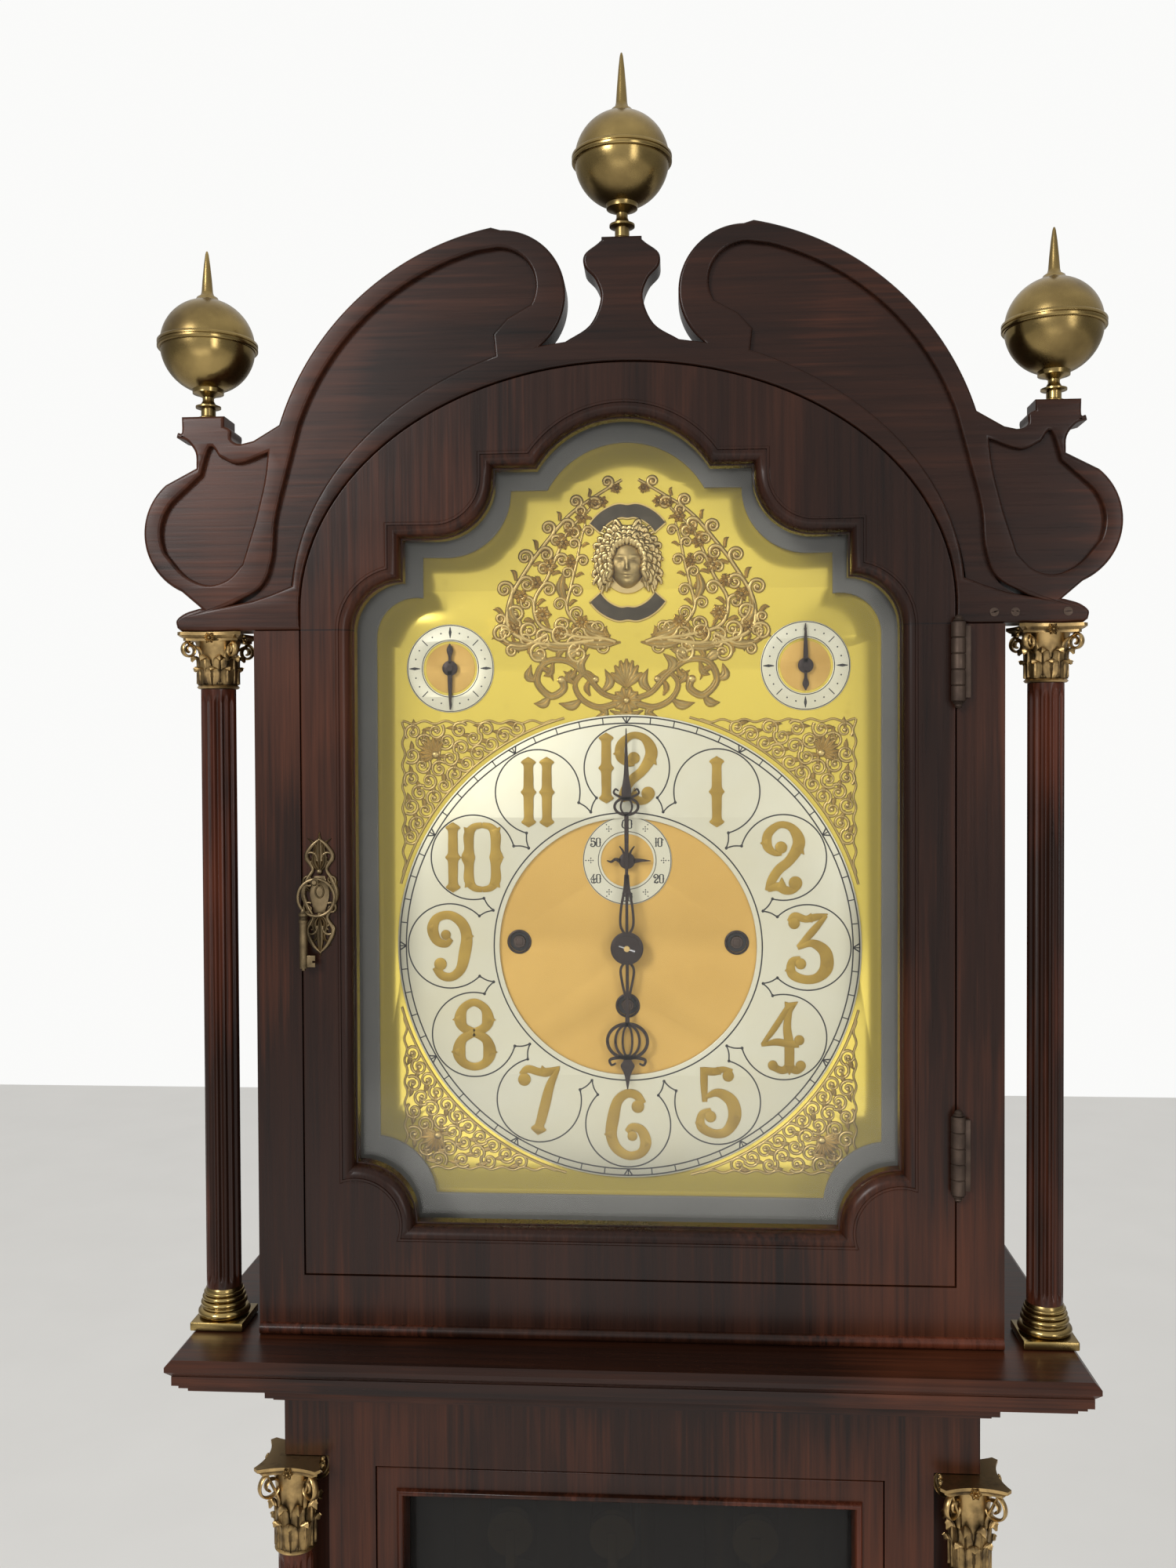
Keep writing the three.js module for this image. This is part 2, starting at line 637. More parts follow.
// The door's outside: straight sides and a half-ellipse head, grown by an offset.
function doorOutline(grow) {
  const half = DOOR_HALF + grow;
  const head = arc(0, 0, 1, 0, 180, 20).map(([c, s]) => [half * c, DOOR_SPRING + (DOOR_RISE + grow) * s]);
  return raised([[-half, DOOR_BOTTOM - grow], [half, DOOR_BOTTOM - grow], ...head], PLATE_TOP);
}
// Base case, plinth and waist
function baseCase() {
  const profile = [[0, 0], [0, BASE_TOP - FIT], [-BASE_BOARD, BASE_TOP - FIT], [-BASE_BOARD, 0]];
  return mouldingRun(profile, BASE_HALF, BASE_FRONT, BACK - BOARD - FIT);
}

function plinth() {
  const out = PLINTH_HALF - BASE_HALF;
  const profile = [
    [FIT, 0], [out, 0], [out, PLINTH_HEIGHT - PLINTH_CHAMFER],
    [PLINTH_CHAMFER, PLINTH_HEIGHT], [FIT, PLINTH_HEIGHT],
  ];
  return mouldingRun(profile, BASE_HALF, BASE_FRONT, BACK);
}

// A stepped hollow moulding from a narrow edge to a wide one; heights may run up or down.
function steppedProfile(narrowZ, wideZ, reach) {
  const rise = wideZ - narrowZ;
  const hollow = MOULDING_HOLLOW_SHARES;
  const curve = arc(0, 0, 1, 0, 90, 5).map(([c, s]) => [
    hollow.out + hollow.width * (1 - c),
    hollow.low + hollow.height * s,
  ]);
  const shares = [...MOULDING_FOOT_SHARES, ...curve, ...MOULDING_HEAD_SHARES];
  const face = shares.map(([out, up]) => [reach * out, narrowZ + rise * up]);
  return [[FIT, narrowZ], ...face, [reach, wideZ], [FIT, wideZ]];
}

function throatMoulding() {
  const reach = HOOD_PLATE_HALF - TRUNK_HALF - PLATE_NOSE;
  return mouldingRun(steppedProfile(MOULDING_BOTTOM, TRUNK_TOP, reach), TRUNK_HALF, TRUNK_FRONT, BACK);
}

function waistMoulding() {
  const reach = BASE_HALF - TRUNK_HALF;
  return mouldingRun(steppedProfile(WAIST_TOP, BASE_TOP, reach), TRUNK_HALF, TRUNK_FRONT, BACK);
}

// Trunk
function trunkSide(side) {
  const edges = [side * (TRUNK_HALF - TRUNK_SIDE), side * TRUNK_HALF];
  const x0 = Math.min(...edges);
  const x1 = Math.max(...edges);
  const back = BACK - BOARD - FIT;
  const board = box(x0, x1, TRUNK_FRONT + TRUNK_SIDE, back, TRUNK_BOTTOM, TRUNK_TOP);
  const seat = DIAL_Z - SEAT_DROP - SEATBOARD - FIT;
  return join(board, box(x0, x1, SEATBOARD_FRONT - CHEEK_LEAD, back, TRUNK_BOTTOM, seat));
}

function trunkFrontFrame() {
  const narrow = TRUNK_HALF - TRUNK_SIDE;
  const right = [
    [TRUNK_HALF, TRUNK_BOTTOM], [TRUNK_HALF, FOOT_BLOCK_TOP], [narrow, FOOT_BLOCK_TOP],
    [narrow, FRIEZE_BOTTOM], [TRUNK_HALF, FRIEZE_BOTTOM], [TRUNK_HALF, TRUNK_TOP],
  ];
  const opening = TRUNK_DOOR_HALF + DOOR_GAP;
  const back = TRUNK_FRONT + TRUNK_SIDE - FIT;
  const low = TRUNK_DOOR_BOTTOM - DOOR_GAP;
  const high = TRUNK_DOOR_TOP + DOOR_GAP;
  const doorway = box(-opening, opening, TRUNK_FRONT - OVERRUN, back + OVERRUN, low, high);
  return cut(slab(mirrored(right), TRUNK_FRONT, back), doorway);
}

function trunkDoorFrame() {
  const back = TRUNK_FRONT + TRUNK_DOOR_THICKNESS;
  const rail = TRUNK_DOOR_HALF - TRUNK_GLASS_HALF;
  const low = TRUNK_DOOR_BOTTOM + rail;
  const high = TRUNK_DOOR_TOP - rail;
  const leaf = box(-TRUNK_DOOR_HALF, TRUNK_DOOR_HALF, TRUNK_FRONT, back, TRUNK_DOOR_BOTTOM, TRUNK_DOOR_TOP);
  const out = TRUNK_GLASS_HALF + TRUNK_BEAD;
  const beadFront = TRUNK_FRONT - TRUNK_BEAD_RISE;
  const bead = box(-out, out, beadFront, TRUNK_FRONT + WELD, low - TRUNK_BEAD, high + TRUNK_BEAD);
  const hole = box(-TRUNK_GLASS_HALF, TRUNK_GLASS_HALF, beadFront - OVERRUN, back + OVERRUN, low, high);
  return cut(join(leaf, bead), hole);
}

function trunkDoorGlass() {
  const y0 = TRUNK_FRONT + TRUNK_DOOR_THICKNESS + FIT;
  const half = TRUNK_GLASS_HALF + GLASS_LAP;
  const rail = TRUNK_DOOR_HALF - half;
  return box(-half, half, y0, y0 + GLASS, TRUNK_DOOR_BOTTOM + rail, TRUNK_DOOR_TOP - rail);
}

// A fluted round shaft from z0 to z1, centred on the Z axis.
function flutedShaft(radius, z0, z1) {
  const outline = [];
  for (let i = 0; i < FLUTES; i += 1) {
    for (const [place, depth] of FLUTE_SHARES) {
      const turn = (2 * Math.PI * (i + place)) / FLUTES;
      const reach = radius - depth * FLUTE_DEPTH;
      outline.push([reach * Math.cos(turn), reach * Math.sin(turn)]);
    }
  }
  return prism(outline, z0, z1);
}

function squareBlock(half, z0, z1) {
  return box(-half, half, -half, half, z0, z1);
}

// A bell-shaped capital with a square abacus and four corner scrolls, centred on the Z axis.
function capital(shaftRadius, abacusHalf, z0, z1) {
  const top = z1 - ABACUS_HEIGHT;
  const spread = abacusHalf - shaftRadius;
  const side = BELL_SHARES.map(([out, up]) => [shaftRadius + spread * out, z0 + (top - z0) * up]);
  const bell = turned([[0, z0], ...side, [0, top]], 14);
  const abacus = squareBlock(abacusHalf, top - WELD, z1);
  const reach = abacusHalf - SCROLL_CURL - SCROLL_CURL_INSET;
  const scrolls = [[1, 1], [1, -1], [-1, 1], [-1, -1]].map(([sx, sy]) => {
    const curl = new THREE.CylinderGeometry(SCROLL_CURL, SCROLL_CURL, SCROLL_CURL_LENGTH, 8);
    return curl.rotateZ(Math.atan2(sy, sx)).translate(sx * reach, sy * reach, top - SCROLL_CURL + WELD);
  });
  return join(bell, abacus, ...scrolls);
}

// A column's foot: a square plinth under three rounded rings, centred on the Z axis.
function ringedBase(radius, plinthHalf, z0, z1) {
  const low = z0 + COLUMN_PLINTH_HEIGHT;
  const spread = plinthHalf - radius;
  const ring = ([place, bulge, height]) => arc(0, 0, 1, -90, 90, 2).map(([c, s]) => [
    radius + spread * bulge * (BASE_WAIST_SHARE + (1 - BASE_WAIST_SHARE) * c),
    low + (z1 - low) * (place + (height * s) / 2),
  ]);
  const stack = turned([[0, low], ...BASE_RING_SHARES.flatMap(ring), [radius, z1], [0, z1]], 14);
  return join(squareBlock(plinthHalf, z0, low + WELD), stack);
}

function trunkColumn(side) {
  const z0 = FOOT_BLOCK_TOP + FIT;
  const z1 = FRIEZE_BOTTOM - FIT;
  const made = join(
    ringedBase(TRUNK_SHAFT_RADIUS, TRUNK_PLINTH_HALF, z0, z0 + TRUNK_COLUMN_BASE),
    flutedShaft(TRUNK_SHAFT_RADIUS, z0 + TRUNK_COLUMN_BASE - WELD, z1 - TRUNK_CAPITAL + WELD),
    capital(TRUNK_SHAFT_RADIUS, TRUNK_ABACUS_HALF, z1 - TRUNK_CAPITAL, z1),
  );
  return made.translate(side * TRUNK_COLUMN_X, TRUNK_COLUMN_Y, 0);
}

// The board that closes the back of base, trunk and hood.
function backboard() {
  const right = [
    [BASE_HALF - FIT, BACKBOARD_BOTTOM], [BASE_HALF - FIT, BASE_TOP - FIT], [TRUNK_HALF, BASE_TOP - FIT],
    [TRUNK_HALF, PLATE_TOP + FIT], [HOOD_HALF, PLATE_TOP + FIT], [HOOD_HALF, PLATE_TOP + HOOD_SHOULDER],
    [HOOD_CROWN_HALF, PLATE_TOP + HOOD_CROWN],
  ];
  return slab(mirrored(right), BACK - BOARD, BACK);
}

// Hood
function hoodBaseFrame() {
  const low = TRUNK_TOP + FIT;
  const out = HOOD_PLATE_HALF - HOOD_PLATE_INNER;
  const profile = [
    [0, low], [out - PLATE_NOSE, low], [out, low + PLATE_NOSE], [out, PLATE_TOP - PLATE_NOSE],
    [out - PLATE_NOSE, PLATE_TOP], [0, PLATE_TOP],
  ];
  return mouldingRun(profile, HOOD_PLATE_INNER, HOOD_PLATE_FRONT + out, BACK - BOARD - FIT);
}

function hoodFrontFrame() {
  const z0 = PLATE_TOP + FIT;
  const z1 = PLATE_TOP + JOINT_HEIGHT - FIT;
  const back = HOOD_FRONT + STILE_DEPTH;
  const opening = DOOR_HALF + DOOR_GAP;
  const low = PLATE_TOP + DOOR_BOTTOM - DOOR_GAP;
  const board = box(-HOOD_HALF, HOOD_HALF, HOOD_FRONT, back, z0, z1);
  return cut(board, box(-opening, opening, HOOD_FRONT - OVERRUN, back + OVERRUN, low, z1 + OVERRUN));
}

// The outline of the hood's box, or of what fits in it, seen from the front.
function hoodSection(inset, low) {
  return raised(mirrored([
    [HOOD_HALF - inset, low],
    [HOOD_HALF - inset, HOOD_SHOULDER - inset / 2],
    [HOOD_CROWN_HALF - inset / 2, HOOD_CROWN - inset],
  ]), PLATE_TOP);
}

function hoodCase() {
  const front = HOOD_FRONT + PEDIMENT_DEPTH + FIT;
  const back = BACK - BOARD - FIT;
  const inside = slab(hoodSection(BOARD, -OVERRUN), front - OVERRUN, back + OVERRUN);
  return cut(slab(hoodSection(0, FIT), front, back), inside);
}

// The swan-neck board with its two ears and the pedestal between the scrolls.
function hoodPediment() {
  const swanFrom = degreesOf(NECK_START_X - SWAN_X, NECK_START - SWAN_Z);
  const swanTo = THREE.MathUtils.radToDeg(Math.acos((SCROLL_X + RIM / 2 - SWAN_X) / SWAN_RADIUS));
  const footTurn = 360 + degreesOf(SCROLL_FOOT_X - SCROLL_X, SCROLL_FOOT - SCROLL_Z);
  const earX = EAR_HALF - EAR_LOBE;
  const earPlinth = placed(EAR_PLINTH_SHARES, EAR_PLINTH_X, EAR_PLINTH_HALF, EAR_NECK, EAR_TOP - EAR_NECK);
  const pedestal = placed(PEDESTAL_SHARES, 0, PEDESTAL_HALF, SCROLL_FOOT, PEDESTAL_TOP - SCROLL_FOOT);
  const right = [
    [DOOR_HALF + DOOR_GAP, JOINT_HEIGHT], [EAR_BLOCK_HALF, JOINT_HEIGHT], [EAR_BLOCK_HALF, EAR_BLOCK_TOP],
    [EAR_NOTCH_X, EAR_BLOCK_TOP],
    ...arc(earX, EAR_WIDEST, EAR_LOBE, EAR_FOOT_DEGREES, EAR_HEAD_DEGREES, 9),
    ...earPlinth,
    [VALLEY_X, VALLEY],
    ...arc(SWAN_X, SWAN_Z, SWAN_RADIUS, swanFrom, swanTo, 12),
    ...arc(SCROLL_X, SCROLL_Z, SCROLL_RADIUS, 90, footTurn, 10),
    ...pedestal,
  ];
  const back = HOOD_FRONT + PEDIMENT_DEPTH;
  const board = slab(raised(mirrored(right), PLATE_TOP), HOOD_FRONT, back);
  const doorway = slab(doorOutline(DOOR_GAP), HOOD_FRONT - OVERRUN, back + OVERRUN);
  const otherHand = (points) => points.map(([x, z]) => [-x, z]).reverse();
  const fields = [neckField(), earField()].flatMap((points) => [points, otherHand(points)]);
  const pockets = fields.map((points) =>
    slab(raised(points, PLATE_TOP), HOOD_FRONT - OVERRUN, HOOD_FRONT + POCKET_DEPTH));
  return cut(board, doorway, ...pockets);
}

// Points of a band that follows the door's arched head, from one angle to another.
function doorBand(width, from, to, steps) {
  const half = DOOR_HALF + width;
  return arc(0, 0, 1, from, to, steps).map(([c, s]) => [half * c, DOOR_SPRING + (DOOR_RISE + width) * s]);
}

// The sunk field that follows the swan neck, right-hand side.
function neckField() {
  return [
    ...doorBand(DOOR_BAND, FIELD_TAIL_DEGREES, FIELD_HEAD_DEGREES, 9),
    ...placed(FIELD_THROAT_SHARES, SCROLL_X, SCROLL_RADIUS, SCROLL_Z, SCROLL_RADIUS),
    ...arc(FIELD_EYE_X, FIELD_EYE_Z, FIELD_EYE_RADIUS, ...FIELD_EYE_DEGREES, 6),
    ...arc(SWAN_X, SWAN_Z, SWAN_RADIUS - RIM, ...FIELD_SWAN_DEGREES, 8),
    ...doorBand(DOOR_BAND + FIELD_TAIL, FIELD_TAIL_END_DEGREES, FIELD_TAIL_DEGREES, 2),
  ];
}

// The sunk field inside an ear, right-hand side.
function earField() {
  const earX = EAR_HALF - EAR_LOBE;
  return [
    ...placed(EAR_FIELD_FOOT_SHARES, earX, EAR_LOBE, EAR_WIDEST, EAR_LOBE),
    ...arc(earX, EAR_WIDEST, EAR_LOBE * EAR_FIELD_SIDE_SHARE, ...EAR_FIELD_SIDE_DEGREES, 5),
    ...placed(EAR_FIELD_HEAD_SHARES, earX, EAR_LOBE, EAR_WIDEST, EAR_LOBE),
  ];
}

function hoodDoorFrame() {
  const back = HOOD_FRONT + DOOR_THICKNESS;
  const ring = (inset, y) => sightOutline(OVOLO_WIDTH * (1 - inset)).map(([x, z]) => [x, y, z]);
  const rings = [
    ring(0, HOOD_FRONT - OVERRUN),
    ...OVOLO_SHARES.map(([inset, depth]) => ring(inset, HOOD_FRONT + OVOLO_DEPTH * depth)),
    ring(1, back + OVERRUN),
  ];
  return cut(slab(doorOutline(0), HOOD_FRONT, back), loft(rings, sightOutline(0)));
}

function hoodDoorGlass() {
  const y0 = HOOD_FRONT + DOOR_THICKNESS + FIT;
  return slab(sightOutline(GLASS_LAP), y0, y0 + GLASS);
}

// A barrel hinge with a pointed tip at each end, and its leaf on the stile.
function hinge(height) {
  const half = HINGE_BARREL / 2;
  const barrel = turned([
    [0, -half - HINGE_TIP], [HINGE_TIP_RADIUS, -half], [HINGE_RADIUS, -half],
    [HINGE_RADIUS, half], [HINGE_TIP_RADIUS, half], [0, half + HINGE_TIP],
  ], 14);
  const leafHalf = half - HINGE_LEAF_INSET;
  const leaf = box(HINGE_TIP_RADIUS, HINGE_LEAF, 0, HINGE_RADIUS, -leafHalf, leafHalf);
  const y = HOOD_FRONT - HINGE_RADIUS - FIT;
  return join(barrel, leaf).translate(DOOR_HALF + DOOR_GAP, y, PLATE_TOP + height);
}

// The key in the door's lock, with a wire ring through it and a second, hollow key hanging from the ring.
function doorKey() {
  const y1 = HOOD_FRONT - FIT;
  const ringY = HOOD_FRONT - KEY_RING_OUT;
  const ringZ = KEY_SHANK_RADIUS - KEY_RING_RADIUS;
  const side = KEY_RING_RADIUS * Math.SQRT1_2;
  const shank = barY(0, 0, KEY_SHANK_RADIUS, y1 - KEY_SHANK, y1);
  const ring = new THREE.TorusGeometry(KEY_RING_RADIUS, KEY_WIRE, 6, 20).rotateX(Math.PI / 2);
  const hanging = barZ(-side, ringY, KEY_BARREL_RADIUS, ringZ - side - KEY_BARREL, ringZ - side + KEY_WIRE);
  return join(shank, ring.translate(0, ringY, ringZ), hanging).translate(-KEY_X, 0, PLATE_TOP + KEY_RISE);
}

function hoodColumn(side) {
  const shaftFoot = PLATE_TOP + COLUMN_BASE_TOP;
  const base = ringedBase(SHAFT_RADIUS, COLUMN_PLINTH_HALF, PLATE_TOP + FIT, shaftFoot);
  const shaft = flutedShaft(SHAFT_RADIUS, shaftFoot - WELD, PLATE_TOP + CAPITAL_BOTTOM - FIT);
  return join(base, shaft).translate(side * COLUMN_X, COLUMN_Y, 0);
}

function hoodCapital(side) {
  const made = capital(SHAFT_RADIUS, ABACUS_HALF, PLATE_TOP + CAPITAL_BOTTOM, PLATE_TOP + JOINT_HEIGHT - FIT);
  return made.translate(side * COLUMN_X, COLUMN_Y, 0);
}

// A spiked ball, banded at its middle, on a collared stem.
function finial(x, foot, ball, tip) {
  const r = FINIAL_BALL;
  const stem = placed(FINIAL_STEM_SHARES, 0, FINIAL_COLLAR, foot, ball - r - foot);
  const spike = placed(FINIAL_SPIKE_SHARES, 0, FINIAL_COLLAR, ball + r, tip - ball - r);
  const profile = [
    ...stem,
    ...arc(0, ball, r, ...FINIAL_LOWER_DEGREES, 4),
    [r + FINIAL_BAND, ball - FINIAL_BAND_HALF],
    [r + FINIAL_BAND, ball + FINIAL_BAND_HALF],
    ...arc(0, ball, r, ...FINIAL_UPPER_DEGREES, 4),
    ...spike,
  ];
  return turned(raised(profile, PLATE_TOP), 16).translate(x, HOOD_FRONT + PEDIMENT_DEPTH / 2, 0);
}

// Dial
function dialMask() {
  const y1 = DIAL_FRONT - MASK_GAP;
  const y0 = y1 - MASK_THICKNESS;
  return cut(
    slab(hoodSection(BOARD + FIT, FIT), y0, y1),
    slab(sightOutline(-MASK_REVEAL), y0 - OVERRUN, y1 + OVERRUN),
  );
}

function dialPlate() {
  const y1 = DIAL_FRONT + DIAL_THICKNESS;
  const plate = slab(sightOutline(0), DIAL_FRONT, y1);
  const feet = [[-1, -1], [1, -1], [-1, 1], [1, 1]].map(([sx, sz]) => barY(
    sx * PLATE_FOOT_X, DIAL_Z + sz * PLATE_FOOT_RISE, PLATE_FOOT_RADIUS, y1 - WELD, FRONT_PLATE - FIT,
  ));
  const hole = (x, rise, radius) => barY(x, DIAL_Z + rise, radius, DIAL_FRONT - OVERRUN, y1 + OVERRUN);
  return cut(
    join(plate, ...feet),
    hole(0, 0, CENTRE_HOLE),
    ...LINES.map((line) => hole(line.x, line.rise, WINDING_HOLE)),
    hole(0, SECONDS_RISE, ARBOR + RUNNING),
    hole(-SUBDIAL_X, SUBDIAL_RISE, ARBOR + RUNNING),
    hole(SUBDIAL_X, SUBDIAL_RISE, ARBOR + RUNNING),
  );
}

function chapterRing() {
  const y1 = DIAL_FRONT - FIT;
  const y0 = y1 - RING_THICKNESS;
  const inside = barY(0, DIAL_Z, RING_INNER, y0 - OVERRUN, y1 + OVERRUN, 40);
  return cut(barY(0, DIAL_Z, RING_OUTER, y0, y1, 64), inside);
}

// A flat hand on its boss, drawn pointing up about the origin; y0 is its front.
function flatHand(shares, half, length, hub, y0) {
  const y1 = y0 + HAND_THICKNESS;
  return join(slab(mirrored(placed(shares, 0, half, 0, length)), y0, y1), barY(0, 0, hub, y0, y1, 20));
}

// Turns a hand clockwise, as seen from the front, and puts it on its arbor.
function setHand(geometry, degrees, x, rise) {
  return geometry.rotateY(THREE.MathUtils.degToRad(degrees)).translate(x, 0, DIAL_Z + rise);
}

function minuteHand() {
  const y0 = DIAL_FRONT - MINUTE_PLANE;
  const flat = flatHand(MINUTE_SHARES, MINUTE_HALF, MINUTE_HAND, HAND_HUB, y0);
  const bore = barY(0, 0, ARBOR + FIT, y0 - OVERRUN, y0 + OVERRUN);
  const eye = barY(0, MINUTE_HAND * MINUTE_EYE_SHARE, MINUTE_EYE, y0 - OVERRUN, y0 + OVERRUN);
  return setHand(cut(flat, bore, eye), 0, 0, 0);
}

function hourHand() {
  const y0 = DIAL_FRONT - HOUR_PLANE;
  const flat = flatHand(HOUR_SHARES, HOUR_HALF, HOUR_HAND, HAND_HUB, y0);
  const pipe = barY(0, 0, HOUR_PIPE, y0 + WELD, DIAL_FRONT + DIAL_THICKNESS);
  const bore = barY(0, 0, ARBOR + RUNNING, y0 - OVERRUN, DIAL_FRONT + OVERRUN);
  const eye = barY(0, HOUR_HAND * HOUR_EYE_SHARE, HOUR_EYE, y0 - OVERRUN, y0 + OVERRUN);
  return setHand(cut(join(flat, pipe), bore, eye), 180, 0, 0);
}

function secondsHand() {
  const y0 = DIAL_FRONT - SECONDS_PLANE;
  const flat = flatHand(SECONDS_SHARES, SECONDS_HALF, SECONDS_HAND, SECONDS_HUB, y0);
  const bore = barY(0, 0, ARBOR + FIT, y0 - OVERRUN, y0 + OVERRUN);
  return setHand(cut(flat, bore), 90, 0, SECONDS_RISE);
}

function pointer(side, degrees) {
  const y0 = DIAL_FRONT - POINTER_PLANE;
  const flat = flatHand(POINTER_SHARES, POINTER_HALF, POINTER, POINTER_HUB, y0);
  const stub = barY(0, 0, ARBOR, y0 + WELD, DIAL_FRONT + 2 * DIAL_THICKNESS);
  return setHand(join(flat, stub), degrees, side * SUBDIAL_X, SUBDIAL_RISE);
}

// Movement
function seatboard() {
  const top = DIAL_Z - SEAT_DROP;
  const half = TRUNK_HALF - SEATBOARD_INSET;
  const low = top - SEATBOARD;
  const board = box(-half, half, SEATBOARD_FRONT, SEATBOARD_FRONT + SEATBOARD_DEPTH, low, top);
  const slots = LINES.map((line) => box(
    line.fall - SLOT_HALF, line.fall + SLOT_HALF,
    LINE_Y - SLOT_REACH, LINE_Y + SLOT_REACH,
    low - OVERRUN, top + OVERRUN,
  ));
  return cut(board, ...slots);
}

function frontPlate() {
  const y1 = FRONT_PLATE + PLATE;
  const plate = box(-PLATE_HALF, PLATE_HALF, FRONT_PLATE, y1, DIAL_Z - SEAT_DROP + FIT, DIAL_Z + PLATE_RISE);
  const hole = (x, rise, radius) => barY(x, DIAL_Z + rise, radius, FRONT_PLATE - OVERRUN, y1 + OVERRUN);
  return cut(
    plate,
    hole(0, 0, ARBOR + RUNNING),
    hole(0, SECONDS_RISE, ARBOR + RUNNING),
    ...LINES.map((line) => hole(line.x, line.rise, WINDING_ARBOR + RUNNING)),
  );
}

// The back plate with its pillars and the cock that the pendulum hangs from.
function backPlate() {
  const y1 = BACK_PLATE + PLATE;
  const low = DIAL_Z - SEAT_DROP + FIT;
  const high = DIAL_Z + PLATE_RISE;
  const pivotZ = DIAL_Z + PALLET_RISE;
  const pillarX = PLATE_HALF - PILLAR_INSET;
  const pillar = (x, z) => barY(x, z, PILLAR_RADIUS, FRONT_PLATE + PLATE + FIT, BACK_PLATE + WELD);
  const pillarHeights = [low + PILLAR_INSET, high - PILLAR_INSET];
  const pillars = pillarHeights.flatMap((z) => [pillar(-pillarX, z), pillar(pillarX, z)]);
  const cockZ = pivotZ + COCK_RISE;
  return cut(
    join(
      box(-PLATE_HALF, PLATE_HALF, BACK_PLATE, y1, low, high),
      ...pillars,
      box(-COCK_HALF, COCK_HALF, y1 - WELD, PENDULUM_Y + COCK_OVERHANG, cockZ, cockZ + COCK_THICKNESS),
    ),
    barY(0, pivotZ, ARBOR + RUNNING, BACK_PLATE - OVERRUN, y1 + OVERRUN),
  );
}

// A wheel or pinion with straight-sided teeth, about the Y axis; its plane lies behind the front plate.
function gear(teeth, module, plane, thickness, phase) {
  const pitch = (teeth * module) / 2;
  const tipRadius = pitch + module * ADDENDUM_SHARE;
  const rootRadius = pitch - module * DEDENDUM_SHARE;
  const outline = [];
  for (let i = 0; i < teeth; i += 1) {
    const tip = (2 * Math.PI * (i + phase)) / teeth;
    const root = tip + Math.PI / teeth;
    outline.push([tipRadius * Math.cos(tip), tipRadius * Math.sin(tip)]);
    outline.push([rootRadius * Math.cos(root), rootRadius * Math.sin(root)]);
  }
  return slab(outline, FRONT_PLATE + plane, FRONT_PLATE + plane + thickness);
}

function pinion(leaves, module, plane, thickness, phase) {
  return gear(leaves, module, plane - PINION_LAP, thickness + 2 * PINION_LAP, phase);
}

// The turn, in leaves, that puts a gap of a pinion opposite the nearest tooth of the wheel that drives it.
// The wheel has a tooth on its +X side, and the pinion lies from it towards (x, z).
function meshPhase(leaves, teeth, x, z) {
  const facing = (Math.atan2(z, x) / (2 * Math.PI)) * teeth;
  const toWheel = (Math.atan2(-z, -x) / (2 * Math.PI)) * leaves;
  return toWheel + 0.5 + (facing - Math.round(facing));
}

// A winding arbor with its flanged drum.
function drum(line) {
  const z = DIAL_Z + line.rise;
  const front = FRONT_PLATE + DRUM_SET_BACK;
  const back = front + DRUM_LENGTH;
  return [
    barY(line.x, z, WINDING_ARBOR, DIAL_FRONT, BACK_PLATE - FIT),
    barY(line.x, z, DRUM_RADIUS, front, back, 20),
    barY(line.x, z, FLANGE_RADIUS, front - FLANGE, front, 20),
    barY(line.x, z, FLANGE_RADIUS, back, back + FLANGE, 20),
  ];
}

function goingBarrel() {
  const wheel = gear(GREAT_TEETH, GREAT_MODULE, GREAT_PLANE, GREAT_THICKNESS, 0);
  return join(...drum(LINES[0]), wheel.translate(0, 0, DIAL_Z - GOING_DROP));
}

function centreWheel() {
  const phase = meshPhase(CENTRE_LEAVES, GREAT_TEETH, 0, GOING_DROP);
  const made = join(
    pinion(CENTRE_LEAVES, GREAT_MODULE, GREAT_PLANE, GREAT_THICKNESS, phase),
    gear(CENTRE_TEETH, CENTRE_MODULE, CENTRE_PLANE, WHEEL_THICKNESS, 0),
    barY(0, 0, ARBOR, DIAL_FRONT - MINUTE_PLANE - ARBOR_END, BACK_PLATE - FIT),
  );
  return made.translate(0, 0, DIAL_Z);
}

function thirdWheel() {
  const phase = meshPhase(THIRD_LEAVES, CENTRE_TEETH, THIRD_X, THIRD_RISE);
  const made = join(
    pinion(THIRD_LEAVES, CENTRE_MODULE, CENTRE_PLANE, WHEEL_THICKNESS, phase),
    gear(THIRD_TEETH, THIRD_MODULE, THIRD_PLANE, WHEEL_THICKNESS, 0),
    barY(0, 0, ARBOR, FRONT_PLATE + PLATE + FIT, BACK_PLATE - FIT),
  );
  return made.translate(THIRD_X, 0, DIAL_Z + THIRD_RISE);
}

